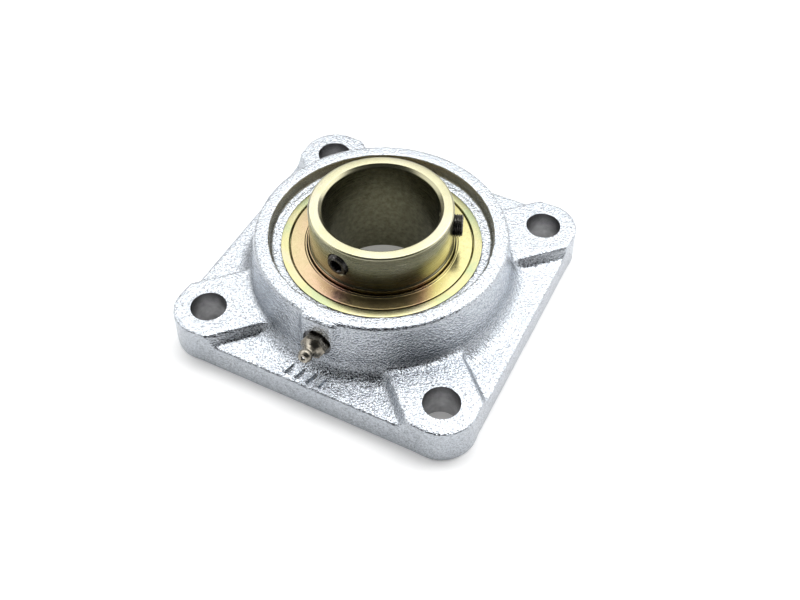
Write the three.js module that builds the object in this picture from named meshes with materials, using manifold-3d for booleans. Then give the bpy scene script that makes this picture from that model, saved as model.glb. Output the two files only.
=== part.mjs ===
// Flange mount bearing: a square four-bolt cast flange that holds a self-aligning ball bearing insert.
// Millimetres. +Z is the shaft axis, away from the machine wall. The origin is the centre of the
// mounting face, so the flange rests on z = 0.
import * as THREE from 'three';
import { mergeVertices } from 'three/addons/utils/BufferGeometryUtils.js';
import Module from 'manifold-3d';

const wasm = await Module();
wasm.setup();

// ---------------------------------------------------------------- driving dimensions

// Shaft and insert bearing (size 210: 50 mm shaft, 90 mm spherical outside diameter)
const BORE_RADIUS = 25;
const CENTRE_HEIGHT = 22; // bearing centre over the mounting face
const INSERT_RADIUS = 44.9; // spherical outside of the outer ring
const OUTER_RING_WIDTH = 24;
const INNER_RING_FRONT = 32.6; // inner ring beyond the bearing centre, collar side
const INNER_RING_REAR = 19;
const COLLAR_RADIUS = 30.95;
const INNER_LAND_RADIUS = 31.2;
const OUTER_LAND_RADIUS = 38.7;
const SEAL_STEP_RADIUS = 40.1;
const PITCH_RADIUS = 35; // ball centres
const BALL_RADIUS = 6.35;
const BALL_COUNT = 10;
const RACEWAY_RADIUS = 6.65;

// Clearances
const SEAT_GAP = 0.35; // between the insert's sphere and its seat
const GAP = 0.3; // between pieces that touch in the real object

// Cast housing
const BOLT_SPACING = 111;
const BOLT_HOLE_RADIUS = 8;
const LUG_RADIUS = 16;
const LUG_HEIGHT = 18;
const PLATE_HEIGHT = 13;
const SIDE_INSET = 0.4; // the straight sides stand inside the lugs' outer tangent
const SIDE_DRAFT = 0.5; // how far the flange's edge leans in over the lug height
const PAD_HALF_WIDTH = 15.2; // raised pad from each lug to the boss, at its top
const PAD_FOOT_HALF_WIDTH = 18.2; // the same, where it meets the plate
const BOSS_HEIGHT = 40;
const BOSS_RADIUS = 55.2; // at the front face
const BOSS_FOOT_RADIUS = 57.3;
const FILLET_RADIUS = 66.5; // outer end of the cast fillet round the boss
const FRONT_RECESS_RADIUS = 48.4;
const FRONT_LEDGE_HEIGHT = 34;
const REAR_RECESS_RADIUS = 52;
const REAR_RECESS_DEPTH = 9.5;
const FILLING_SLOT_AZIMUTH = 45; // degrees; the two slots let the insert in edge on

// Grease nipple and the cast pad that carries it, on the -Y side of the boss
const NIPPLE_PAD_HALF_WIDTH = 8;
const NIPPLE_PAD_FACE = 57; // distance of the pad's flat face from the shaft axis
const NIPPLE_PAD_TOP = 39.3;
const NIPPLE_HEIGHT = 27;
const NIPPLE_TILT = 10; // degrees above the flange plane
const NIPPLE_SEAT = 56.3; // spot face under the hexagon
const NIPPLE_THREAD_RADIUS = 4.55;
const NIPPLE_THREAD_LENGTH = 8;
const NIPPLE_HEX_FLATS = 10;
const NIPPLE_LENGTH = 12.4; // from the spot face to the tip
const NIPPLE_BORE_RADIUS = 1.55;
const CHECK_BALL_RADIUS = 1.2;
const CHECK_BALL_PLACE = 10.75;

// Set screws, M10 x 1 with a hexagon socket, 120 degrees apart in the collar
const SCREW_RADIUS = 4.95;
const SCREW_LENGTH = 6.5;
const SCREW_SOCKET_FLATS = 5;
const SCREW_SOCKET_DEPTH = 3.6;
const SCREW_HEIGHT = 45.5;
const SET_SCREWS = [
  { name: 'set_screw_a', azimuth: -98, faceRadius: 32 },
  { name: 'set_screw_b', azimuth: 22, faceRadius: 34.8 },
];

// Locating pin that stops the outer ring turning in its seat, on the +X side
const PIN_RADIUS = 1.5;
const PIN_INNER_END = 43.4;
const PIN_OUTER_END = 47.3;
const TILT_LIMIT = 2; // degrees of self-alignment each way

// Facets round a full circle
const RING_FACETS = 36;
const HOUSING_FACETS = 48;
const HOLE_FACETS = 20;
const SMALL_FACETS = 12;
const BALL_FACETS = { across: 10, down: 6 };

// ---------------------------------------------------------------- materials

function material(color, roughness, metalness) {
  return new THREE.MeshStandardMaterial({ color, roughness, metalness });
}

const castPlated = material(0xd4d8dc, 0.45, 0.85);
const yellowZinc = material(0xd8cf8e, 0.3, 0.9);
const collarSteel = material(0xb9b083, 0.32, 0.9);
const ballSteel = material(0xc9cccf, 0.12, 1.0);
const cageSteel = material(0xa9a9a4, 0.4, 0.9);
const sealRubber = material(0x1b1b1a, 0.8, 0.0);
const blackOxide = material(0x2b2a28, 0.45, 0.7);
const nipplePlate = material(0x8d8476, 0.35, 0.9);

// ---------------------------------------------------------------- geometry helpers

const radians = THREE.MathUtils.degToRad;

// A closed three.js geometry becomes a solid that can be joined and cut.
function solid(geometry) {
  const bare = geometry.clone();
  bare.deleteAttribute('normal');
  bare.deleteAttribute('uv');
  const merged = mergeVertices(bare, 1e-4);
  const index = merged.index.array;
  const triangles = [];
  for (let i = 0; i < index.length; i += 3) {
    const [a, b, c] = [index[i], index[i + 1], index[i + 2]];
    if (a !== b && b !== c && c !== a) triangles.push(a, b, c);
  }
  const vertProperties = new Float32Array(merged.attributes.position.array);
  const triVerts = new Uint32Array(triangles);
  return new wasm.Manifold(new wasm.Mesh({ numProp: 3, vertProperties, triVerts }));
}

function geometryOf(manifold) {
  const mesh = manifold.getMesh();
  const geometry = new THREE.BufferGeometry();
  geometry.setAttribute('position', new THREE.BufferAttribute(mesh.vertProperties, 3));
  geometry.setIndex(new THREE.BufferAttribute(mesh.triVerts, 1));
  geometry.computeVertexNormals();
  return geometry;
}

function part(name, manifold, meshMaterial) {
  const mesh = new THREE.Mesh(geometryOf(manifold), meshMaterial);
  mesh.name = name;
  return mesh;
}

function union(solids) {
  return solids.reduce((joined, next) => joined.add(next));
}

function cut(body, cutters) {
  return cutters.reduce((rest, cutter) => rest.subtract(cutter), body);
}

// Turns an outline of [radius, height] points about Z. The outline runs anticlockwise: up on its
// outer side and down on its inner side.
function turned(outline, facets = RING_FACETS) {
  const points = outline.map(([radius, height]) => new THREE.Vector2(radius, height));
  return solid(new THREE.LatheGeometry(points, facets).rotateX(Math.PI / 2));
}

// The same for an outline that closes on itself.
function turnedRing(outline, facets = RING_FACETS) {
  return turned([...outline, outline[0]], facets);
}

function cylinder(radius, from, to, facets = HOLE_FACETS) {
  const geometry = new THREE.CylinderGeometry(radius, radius, to - from, facets);
  return solid(geometry.rotateX(Math.PI / 2).translate(0, 0, (from + to) / 2));
}

function box(low, high) {
  const size = high.map((value, i) => value - low[i]);
  const middle = high.map((value, i) => (value + low[i]) / 2);
  return solid(new THREE.BoxGeometry(...size).translate(...middle));
}

function sphere(radius) {
  const { across, down } = BALL_FACETS;
  return solid(new THREE.SphereGeometry(radius, across, down).rotateX(Math.PI / 2));
}

// A regular hexagonal prism along Z, from its distance across flats.
function hexagon(flats, from, to) {
  return cylinder(flats / Math.sqrt(3), from, to, 6);
}

function placed(manifold, matrix) {
  return manifold.transform(matrix.elements);
}

// Points of an arc about [centreRadius, 0], between two angles in degrees, in equal steps.
function arc(centreRadius, radius, fromAngle, toAngle, steps) {
  return Array.from({ length: steps + 1 }, (_, i) => {
    const angle = radians(fromAngle + ((toAngle - fromAngle) * i) / steps);
    return [centreRadius + radius * Math.cos(angle), radius * Math.sin(angle)];
  });
}

// Mirrors a solid in the bearing's middle plane.
function mirrored(manifold) {
  return manifold.mirror([0, 0, 1]);
}

// ---------------------------------------------------------------- housing

// The flange seen from the front: four round lugs joined by straight sides.
function flangeOutline() {
  const lugCentre = BOLT_SPACING / 2;
  const bulge = Math.acos((LUG_RADIUS - SIDE_INSET) / LUG_RADIUS);
  const outline = new THREE.Shape();
  for (let corner = 0; corner < 4; corner += 1) {
    const start = (corner * Math.PI) / 2;
    const diagonal = start + Math.PI / 4;
    const x = lugCentre * Math.SQRT2 * Math.cos(diagonal);
    const y = lugCentre * Math.SQRT2 * Math.sin(diagonal);
    outline.absarc(x, y, LUG_RADIUS, start - bulge, start + Math.PI / 2 + bulge, false);
  }
  outline.closePath();
  return outline;
}

// The flange outline raised to a height, with its edge leaning in as a casting's does.
function flangeBlock(height) {
  const options = { depth: height, bevelEnabled: false, curveSegments: 6 };
  const geometry = new THREE.ExtrudeGeometry(flangeOutline(), options);
  const reach = BOLT_SPACING / 2 + LUG_RADIUS;
  const position = geometry.attributes.position;
  for (let i = 0; i < position.count; i += 1) {
    const lean = 1 - ((SIDE_DRAFT / reach) * position.getZ(i)) / LUG_HEIGHT;
    position.setXY(i, position.getX(i) * lean, position.getY(i) * lean);
  }
  return solid(geometry);
}

// One diagonal bar with sloping sides; two of them carry the four lug pads.
function padBar(azimuth) {
  const reach = BOLT_SPACING;
  const foot = PLATE_HEIGHT - 1;
  const slope = (PAD_FOOT_HALF_WIDTH - PAD_HALF_WIDTH) / (LUG_HEIGHT - PLATE_HEIGHT);
  const footHalfWidth = PAD_FOOT_HALF_WIDTH + slope;
  const section = new THREE.Shape();
  section.moveTo(-footHalfWidth, foot);
  section.lineTo(footHalfWidth, foot);
  section.lineTo(PAD_HALF_WIDTH, LUG_HEIGHT);
  section.lineTo(-PAD_HALF_WIDTH, LUG_HEIGHT);
  section.closePath();
  const geometry = new THREE.ExtrudeGeometry(section, { depth: 2 * reach, bevelEnabled: false });
  geometry.translate(0, 0, -reach).rotateX(Math.PI / 2).rotateZ(radians(azimuth) + Math.PI / 2);
  return solid(geometry);
}

function boss() {
  return turned(
    [
      [0, 1],
      [FILLET_RADIUS, 1],
      [FILLET_RADIUS, PLATE_HEIGHT],
      [61.6, 14.4],
      [58.7, 17],
      [BOSS_FOOT_RADIUS, 20.5],
      [BOSS_RADIUS, BOSS_HEIGHT],
      [0, BOSS_HEIGHT],
    ],
    HOUSING_FACETS,
  );
}

// Everything the housing's middle is bored out to: rear recess, spherical seat with its grease
// groove, front ledge and front recess.
function seatCavity() {
  const seatRadius = INSERT_RADIUS + SEAT_GAP;
  const at = (height) => [Math.sqrt(seatRadius ** 2 - height ** 2), CENTRE_HEIGHT + height];
  const rear = REAR_RECESS_DEPTH - CENTRE_HEIGHT;
  const front = FRONT_LEDGE_HEIGHT - CENTRE_HEIGHT;
  const groove = { low: 1.6, high: 9, depth: 1 };
  return turned(
    [
      [0, -1],
      [REAR_RECESS_RADIUS, -1],
      [REAR_RECESS_RADIUS, REAR_RECESS_DEPTH],
      at(rear),
      at(-8),
      at(-4),
      at(groove.low),
      [at(groove.low)[0] + groove.depth, CENTRE_HEIGHT + groove.low + groove.depth],
      [at(groove.high)[0] + groove.depth, CENTRE_HEIGHT + groove.high - groove.depth],
      at(groove.high),
      at(front),
      [FRONT_RECESS_RADIUS - 0.5, FRONT_LEDGE_HEIGHT],
      [FRONT_RECESS_RADIUS, BOSS_HEIGHT + 1],
      [0, BOSS_HEIGHT + 1],
    ],
    RING_FACETS,
  );
}

// The two slots that let the insert in edge on from the rear are one long box across the seat.
function fillingSlots() {
  const halfLength = INSERT_RADIUS + SEAT_GAP;
  const halfWidth = OUTER_RING_WIDTH / 2 + SEAT_GAP;
  const slot = box([-halfLength, -halfWidth, 0], [halfLength, halfWidth, CENTRE_HEIGHT]);
  return placed(slot, new THREE.Matrix4().makeRotationZ(radians(FILLING_SLOT_AZIMUTH)));
}

function boltHoles() {
  const centre = BOLT_SPACING / 2;
  const hole = cylinder(BOLT_HOLE_RADIUS, -1, LUG_HEIGHT + 1);
  const places = [
    [centre, centre],
    [-centre, centre],
    [-centre, -centre],
    [centre, -centre],
  ];
  return places.map(([x, y]) => hole.translate([x, y, 0]));
}

// From the nipple's own frame, where +Z runs out of the spot face, to the housing's.
function nippleFrame() {
  const turn = new THREE.Matrix4().makeRotationX(Math.PI / 2 - radians(NIPPLE_TILT));
  return new THREE.Matrix4().makeTranslation(0, -NIPPLE_SEAT, NIPPLE_HEIGHT).multiply(turn);
}

function nippleHole() {
  const spotFace = cylinder(6.5, 0, 6, RING_FACETS / 2);
  const thread = cylinder(NIPPLE_THREAD_RADIUS + GAP, -NIPPLE_THREAD_LENGTH - 0.5, 1);
  const duct = cylinder(1.6, -14, 0, SMALL_FACETS);
  return placed(union([spotFace, thread, duct]), nippleFrame());
}

// The axial slot that the locating pin rides in while the insert aligns itself.
function pinSlot() {
  const travel = INSERT_RADIUS * Math.sin(radians(TILT_LIMIT));
  const halfHeight = PIN_RADIUS + travel + SEAT_GAP;
  const halfWidth = PIN_RADIUS + SEAT_GAP;
  return box(
    [INSERT_RADIUS - 1, -halfWidth, CENTRE_HEIGHT - halfHeight],
    [PIN_OUTER_END + 0.9, halfWidth, CENTRE_HEIGHT + halfHeight],
  );
}

function housing() {
  const pads = padBar(45).add(padBar(-45)).intersect(flangeBlock(LUG_HEIGHT));
  const nipplePad = box(
    [-NIPPLE_PAD_HALF_WIDTH, -NIPPLE_PAD_FACE, 1],
    [NIPPLE_PAD_HALF_WIDTH, -FRONT_RECESS_RADIUS, NIPPLE_PAD_TOP],
  );
  const casting = union([flangeBlock(PLATE_HEIGHT), pads, boss(), nipplePad]);
  return cut(casting, [seatCavity(), fillingSlots(), ...boltHoles(), nippleHole(), pinSlot()]);
}

// ---------------------------------------------------------------- insert bearing
// These solids are made about the bearing centre and lifted to it by their group.

function outerRing() {
  const half = OUTER_RING_WIDTH / 2;
  const edge = half - 0.6;
  const edgeAngle = THREE.MathUtils.radToDeg(Math.asin(edge / INSERT_RADIUS));
  const landAngle = THREE.MathUtils.radToDeg(
    Math.acos((OUTER_LAND_RADIUS - PITCH_RADIUS) / RACEWAY_RADIUS),
  );
  const ring = turnedRing([
    [SEAL_STEP_RADIUS, -half],
    [43, -half],
    ...arc(0, INSERT_RADIUS, -edgeAngle, edgeAngle, 6),
    [43, half],
    [SEAL_STEP_RADIUS, half],
    [SEAL_STEP_RADIUS, 9.6],
    [OUTER_LAND_RADIUS, 9.2],
    ...arc(PITCH_RADIUS, RACEWAY_RADIUS, landAngle, -landAngle, 6),
    [OUTER_LAND_RADIUS, -9.2],
    [SEAL_STEP_RADIUS, -9.6],
  ]);
  const pinHole = placed(
    cylinder(PIN_RADIUS + SEAT_GAP, PIN_INNER_END - GAP, INSERT_RADIUS + 1, SMALL_FACETS),
    new THREE.Matrix4().makeRotationY(Math.PI / 2),
  );
  const greaseHole = placed(
    cylinder(1.2, OUTER_LAND_RADIUS - 2, INSERT_RADIUS + 1, SMALL_FACETS).translate([-7.2, 0, 0]),
    new THREE.Matrix4().makeRotationZ(-Math.PI / 2).multiply(new THREE.Matrix4().makeRotationY(Math.PI / 2)),
  );
  return cut(ring, [pinHole, greaseHole]);
}

// From a frame whose +Z runs outwards through a set screw to the collar's frame.
function screwFrame(azimuth) {
  const lift = new THREE.Matrix4().makeTranslation(0, 0, SCREW_HEIGHT - CENTRE_HEIGHT);
  const turn = new THREE.Matrix4().makeRotationZ(radians(azimuth));
  return lift.multiply(turn).multiply(new THREE.Matrix4().makeRotationY(Math.PI / 2));
}

function innerRing() {
  const landAngle = THREE.MathUtils.radToDeg(
    Math.acos((PITCH_RADIUS - INNER_LAND_RADIUS) / RACEWAY_RADIUS),
  );
  const ring = turnedRing([
    [BORE_RADIUS + 1.2, -INNER_RING_REAR],
    [COLLAR_RADIUS - 0.8, -INNER_RING_REAR],
    [COLLAR_RADIUS, -INNER_RING_REAR + 0.8],
    [COLLAR_RADIUS, -14.3],
    [INNER_LAND_RADIUS, -14],
    ...arc(PITCH_RADIUS, RACEWAY_RADIUS, 180 + landAngle, 180 - landAngle, 6),
    [INNER_LAND_RADIUS, 14],
    [COLLAR_RADIUS, 14.3],
    [COLLAR_RADIUS, INNER_RING_FRONT - 0.8],
    [COLLAR_RADIUS - 0.8, INNER_RING_FRONT],
    [BORE_RADIUS + 1.3, INNER_RING_FRONT],
    [BORE_RADIUS, INNER_RING_FRONT - 1.3],
    [BORE_RADIUS, -INNER_RING_REAR + 1.2],
  ]);
  const tappedHoles = SET_SCREWS.map(({ azimuth }) =>
    placed(cylinder(SCREW_RADIUS + GAP, BORE_RADIUS - 3, COLLAR_RADIUS + 3), screwFrame(azimuth)),
  );
  return cut(ring, tappedHoles);
}

function setScrew() {
  const tip = 0.9;
  const body = turned([
    [0, -SCREW_LENGTH],
    [SCREW_RADIUS - 1.6, -SCREW_LENGTH],
    [SCREW_RADIUS, -SCREW_LENGTH + tip],
    [SCREW_RADIUS, -0.5],
    [SCREW_RADIUS - 0.5, 0],
    [0, 0],
  ], HOLE_FACETS);
  return body.subtract(hexagon(SCREW_SOCKET_FLATS, -SCREW_SOCKET_DEPTH, 1));
}

// Pressed steel disc in the outer ring's step, with a lip turned out round the collar.
function sealShield() {
  return turnedRing([
    [32.5, 11.5],
    [33.3, 11.2],
    [39, 11.2],
    [39, 9.9],
    [39.6, 9.9],
    [39.6, 11.8],
    [33.5, 11.8],
    [33, 12.4],
    [32.5, 12.4],
  ]);
}

function sealLip() {
  return turnedRing([
    [32.3, 10.2],
    [38.4, 10.2],
    [38.4, 10.9],
    [33.2, 10.9],
    [32.3, 10.6],
  ]);
}

// Flanged sleeve pressed on the inner ring; it throws grease back and dirt out.
function slinger() {
  const bore = INNER_LAND_RADIUS + GAP;
  return turnedRing([
    [bore, 9.2],
    [37, 9.2],
    [37, 9.8],
    [bore + 0.5, 9.8],
    [bore + 0.5, 14.05],
    [bore, 14.05],
  ]);
}

function ballAngle(index) {
  return (index * 2 * Math.PI) / BALL_COUNT;
}

function aroundPitch(manifold, angle) {
  return manifold.translate([PITCH_RADIUS * Math.cos(angle), PITCH_RADIUS * Math.sin(angle), 0]);
}

// One half of the pressed ribbon cage: a flat ring that swells round each ball.
function cageHalf() {
  const split = 0.2;
  const flatTop = 1;
  const pocketRadius = BALL_RADIUS + 2 * GAP;
  const angles = Array.from({ length: BALL_COUNT }, (_, i) => ballAngle(i));
  const rivetAngles = angles.map((angle) => angle + Math.PI / BALL_COUNT);
  const facets = 2 * BALL_COUNT;
  const flat = turnedRing([[33.2, split], [36.8, split], [36.8, flatTop], [33.2, flatTop]], facets);
  const band = turnedRing([[33, split], [37, split], [37, 8], [33, 8]], facets);
  const shell = sphere(pocketRadius + 0.65);
  const pocket = sphere(pocketRadius);
  const rivetHole = cylinder(1.15, -1, 3, 6);
  const swellings = union(angles.map((angle) => aroundPitch(shell, angle))).intersect(band);
  const pockets = angles.map((angle) => aroundPitch(pocket, angle));
  const rivetHoles = rivetAngles.map((angle) => aroundPitch(rivetHole, angle));
  return cut(flat.add(swellings), [...pockets, ...rivetHoles]);
}

function cageRivet() {
  const head = { radius: 1.6, low: 1.3, high: 2 };
  const stem = 0.8;
  return turned([
    [0, -head.high],
    [head.radius, -head.high],
    [head.radius, -head.low],
    [stem, -head.low],
    [stem, head.low],
    [head.radius, head.low],
    [head.radius, head.high],
    [0, head.high],
  ], 6);
}

function locatingPin() {
  const pin = cylinder(PIN_RADIUS, PIN_INNER_END, PIN_OUTER_END, SMALL_FACETS);
  return placed(pin, new THREE.Matrix4().makeRotationY(Math.PI / 2));
}

// ---------------------------------------------------------------- grease nipple
// Made about the spot face, with +Z running out along the nipple.

function nippleBody() {
  const mouth = 0.9;
  const turnedBody = turned([
    [0, -NIPPLE_THREAD_LENGTH],
    [NIPPLE_THREAD_RADIUS - 0.7, -NIPPLE_THREAD_LENGTH],
    [NIPPLE_THREAD_RADIUS, -NIPPLE_THREAD_LENGTH + 0.7],
    [NIPPLE_THREAD_RADIUS, 0.6],
    [4.6, 5.2],
    [2.5, 8.2],
    [2.4, 8.8],
    [3.3, 9.6],
    [3.3, 10.8],
    [2.3, NIPPLE_LENGTH],
    [0, NIPPLE_LENGTH],
  ], 16);
  const bore = turned([
    [0, -NIPPLE_THREAD_LENGTH - 1],
    [1, -NIPPLE_THREAD_LENGTH - 1],
    [1, 3.5],
    [NIPPLE_BORE_RADIUS, 3.5],
    [NIPPLE_BORE_RADIUS, 11.2],
    [mouth, 11.9],
    [mouth, NIPPLE_LENGTH + 1],
    [0, NIPPLE_LENGTH + 1],
  ], SMALL_FACETS);
  return turnedBody.add(hexagon(NIPPLE_HEX_FLATS, 0.3, 5.2)).subtract(bore);
}

class Helix extends THREE.Curve {
  constructor(radius, from, to, turns) {
    super();
    Object.assign(this, { radius, from, to, turns });
  }

  getPoint(t, target = new THREE.Vector3()) {
    const angle = 2 * Math.PI * this.turns * t;
    const height = this.from + (this.to - this.from) * t;
    return target.set(this.radius * Math.cos(angle), this.radius * Math.sin(angle), height);
  }
}

function nippleSpring() {
  const wire = new THREE.Shape().absarc(0, 0, 0.16, 0, 2 * Math.PI, false);
  const path = new Helix(1.1, 4.1, 9.1, 3);
  const options = { steps: 27, curveSegments: 3, extrudePath: path, bevelEnabled: false };
  return solid(new THREE.ExtrudeGeometry(wire, options));
}

// ---------------------------------------------------------------- assembly

function insertGroup() {
  const group = new THREE.Group();
  group.position.z = CENTRE_HEIGHT;
  group.add(part('outer_ring', outerRing(), yellowZinc));
  group.add(part('inner_ring', innerRing(), collarSteel));
  const sides = [
    { side: 'front', face: (manifold) => manifold },
    { side: 'rear', face: mirrored },
  ];
  for (const { side, face } of sides) {
    group.add(part(`${side}_seal_shield`, face(sealShield()), yellowZinc));
    group.add(part(`${side}_seal_lip`, face(sealLip()), sealRubber));
    group.add(part(`${side}_slinger`, face(slinger()), yellowZinc));
    group.add(part(`${side}_cage_half`, face(cageHalf()), cageSteel));
  }
  for (let i = 0; i < BALL_COUNT; i += 1) {
    const number = String(i + 1).padStart(2, '0');
    const ball = sphere(BALL_RADIUS);
    group.add(part(`ball_${number}`, aroundPitch(ball, ballAngle(i)), ballSteel));
    const rivet = aroundPitch(cageRivet(), ballAngle(i + 0.5));
    group.add(part(`cage_rivet_${number}`, rivet, cageSteel));
  }
  for (const { name, azimuth, faceRadius } of SET_SCREWS) {
    const screw = placed(setScrew().translate([0, 0, faceRadius]), screwFrame(azimuth));
    group.add(part(name, screw, blackOxide));
  }
  group.add(part('locating_pin', locatingPin(), ballSteel));
  return group;
}

function nippleGroup() {
  const group = new THREE.Group();
  group.applyMatrix4(nippleFrame());
  group.add(part('grease_nipple_body', nippleBody(), nipplePlate));
  const checkBall = sphere(CHECK_BALL_RADIUS).translate([0, 0, CHECK_BALL_PLACE]);
  group.add(part('nipple_check_ball', checkBall, ballSteel));
  group.add(part('nipple_spring', nippleSpring(), cageSteel));
  return group;
}

const bearingUnit = new THREE.Group();
bearingUnit.add(part('flange_housing', housing(), castPlated));
bearingUnit.add(insertGroup());
bearingUnit.add(nippleGroup());

export default bearingUnit;
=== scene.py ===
"""Looks of the flange mount bearing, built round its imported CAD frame.

Lengths are in millimetres in the tables and outlines below, and MM turns them into Blender's metres.
The shaft axis is Z and the mounting face is z = 0, as in the CAD model."""
import math

import bmesh
import bpy
import numpy as np
from mathutils import Matrix, Vector, noise


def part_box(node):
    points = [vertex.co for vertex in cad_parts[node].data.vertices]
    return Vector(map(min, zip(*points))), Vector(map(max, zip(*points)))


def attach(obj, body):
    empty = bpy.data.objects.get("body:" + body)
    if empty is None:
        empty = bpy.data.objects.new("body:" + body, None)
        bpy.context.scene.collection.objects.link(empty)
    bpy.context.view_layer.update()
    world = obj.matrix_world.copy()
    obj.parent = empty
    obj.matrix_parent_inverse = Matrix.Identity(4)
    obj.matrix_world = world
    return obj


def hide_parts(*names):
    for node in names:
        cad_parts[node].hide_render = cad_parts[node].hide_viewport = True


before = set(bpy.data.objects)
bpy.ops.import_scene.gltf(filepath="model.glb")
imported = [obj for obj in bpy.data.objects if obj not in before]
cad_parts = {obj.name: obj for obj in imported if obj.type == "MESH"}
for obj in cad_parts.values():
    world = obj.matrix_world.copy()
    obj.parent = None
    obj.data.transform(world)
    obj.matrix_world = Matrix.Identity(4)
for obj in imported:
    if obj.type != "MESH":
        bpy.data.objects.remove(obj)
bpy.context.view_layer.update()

MM = 0.001


def node_box(node):
    """Lowest and highest corners of a CAD node, in millimetres."""
    low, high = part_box(node)
    return low / MM, high / MM


# ------------------------------------------------------------------ sizes taken from the frame

ring_low, ring_high = node_box("outer_ring")
inner_low, inner_high = node_box("inner_ring")
_, housing_high = node_box("flange_housing")

CENTRE = (ring_low.z + ring_high.z) / 2          # bearing centre over the mounting face
RING_HALF = (ring_high.z - ring_low.z) / 2       # half the outer ring's width
COLLAR_TOP = inner_high.z
INNER_BOTTOM = inner_low.z
BOSS_TOP = housing_high.z

# ------------------------------------------------------------------ driving dimensions
# round things are given by radius, and heights are over the mounting face

BORE = 25.0
COLLAR = 30.95
COLLAR_CHAMFER = 0.8                             # at the rear end of the inner ring
INNER_LAND = 31.2
INNER_LAND_HALF = 14.0                           # half the width of the inner ring's land
OUTER_LAND = 38.7
OUTER_LAND_HALF = 9.1                            # half the width of the outer ring's land
SEAL_STEP = 40.1                                 # where the outer ring steps out for the seals
INSERT = 44.9                                    # spherical outside of the outer ring
SEAT = 45.2                                      # the housing's spherical seat
PITCH = 35.0                                     # ball centres
BALL = 6.35
BALLS = 10
RACEWAY = 6.6                                    # of the groove's cross-section

FLANGE_REACH = 71.5                              # shaft axis to the outside of a lug
LUG_CENTRE = 55.5                                # x and y of each bolt hole
LUG = 16.0
LUG_TOP = 18.0
PLATE_TOP = 13.0
SIDE_INSET = 0.4                                 # straight sides inside the lugs' outermost line
SIDE_DRAFT = 0.5                                 # how far the sides lean in up to LUG_TOP
PAD_HALF_WIDTH = 15.9
PAD_FOOT_HALF_WIDTH = 18.4
BOLT_HOLE = 7.8
BOSS = 55.2
BOSS_FOOT = 57.4
BOSS_ROUNDING = 1.6                              # of the boss's top edge
RECESS = 48.45
LEDGE = 34.0                                     # height of the front recess's floor
REAR_RECESS = 52.0
REAR_RECESS_TOP = 9.5

NIPPLE_TILT = math.radians(10)
NIPPLE_ORIGIN = Vector((0, -56.3, 27))           # centre of the spot face
NIPPLE_FLATS = 10                                # across the hexagon
NIPPLE_CREST, NIPPLE_ROOT = 4.55, 4.05           # of the thread
CHECK_BALL = 1.2
CHECK_BALL_OUT = 10.75                           # from the spot face to the ball's centre
SCREW_LIFT = 45.5                                # height of the set screws' axes
SCREW = 4.95
SCREW_LENGTH = 6.5
SCREW_FLATS = 5.0                                # across the socket
TAPPED_CREST, TAPPED_ROOT = 5.5, 5.15            # of the threads in the collar
THREAD_PITCH = 1.0                               # of the set screws and the nipple
# azimuth of each set screw, and the radius of its outer face at rest
SCREWS = {"set_screw_a": (math.radians(-98), 32.0), "set_screw_b": (math.radians(22), 34.8)}

CAST_VOXEL = 0.74
CAST_SMOOTHING = 8                               # passes over the whole casting
COLUMN_SMOOTHING = 26                            # further passes over the nipple's pad
BOLT_HOLE_CHAMFER = 0.15
PIN_SLOT_HALF_WIDTH = 1.85
PIN = 1.5                                        # locating pin
GREASE_HOLE = 1.2
TILT_LIMIT = math.radians(2)                     # of the insert, either way
BARS = 4
BAR_PITCH = 5.4
BAR_FIRST = (-10.0, -65.7)                       # middle of the first raised bar


# ------------------------------------------------------------------ outlines and meshes

def rounded(corners, closed=True, step=math.radians(12)):
    """An outline of points from (x, y) or (x, y, radius) corners; those with a radius become arcs."""
    points = []
    count = len(corners)
    for i, (x, y, *radius) in enumerate(corners):
        here = Vector((x, y))
        at_end = not closed and i in (0, count - 1)
        if not radius or at_end:
            points.append(here)
            continue
        before = (Vector(corners[i - 1][:2]) - here).normalized()
        after = (Vector(corners[(i + 1) % count][:2]) - here).normalized()
        half = before.angle(after) / 2
        reach = radius[0] / math.tan(half)
        centre = here + (before + after).normalized() * radius[0] / math.sin(half)
        first = here + before * reach - centre
        last = here + after * reach - centre
        turn = first.angle_signed(last)
        steps = max(2, math.ceil(abs(turn) / step))
        for k in range(steps + 1):
            spoke = first.copy()
            spoke.rotate(Matrix.Rotation(-turn * k / steps, 2))
            points.append(centre + spoke)
    return points


def arc(centre, radius, start, end, steps):
    """Points of an arc, between two angles in degrees."""
    points = []
    for k in range(steps + 1):
        angle = math.radians(start + (end - start) * k / steps)
        points.append((centre[0] + radius * math.cos(angle), centre[1] + radius * math.sin(angle)))
    return points


def new_piece(name, vertices, faces, materials=()):
    """A mesh object from millimetre vertices."""
    mesh = bpy.data.meshes.new(name)
    mesh.from_pydata([Vector(v) * MM for v in vertices], [], faces)
    mesh.update()
    for material in materials:
        mesh.materials.append(material)
    piece = bpy.data.objects.new(name, mesh)
    bpy.context.scene.collection.objects.link(piece)
    return piece


def tidy(piece):
    """Merges doubled vertices and turns every face outwards."""
    work = bmesh.new()
    work.from_mesh(piece.data)
    bmesh.ops.remove_doubles(work, verts=work.verts, dist=1e-4 * MM)
    bmesh.ops.dissolve_degenerate(work, edges=work.edges, dist=1e-5 * MM)
    bmesh.ops.recalc_face_normals(work, faces=work.faces)
    work.to_mesh(piece.data)
    work.free()
    return piece


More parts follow.
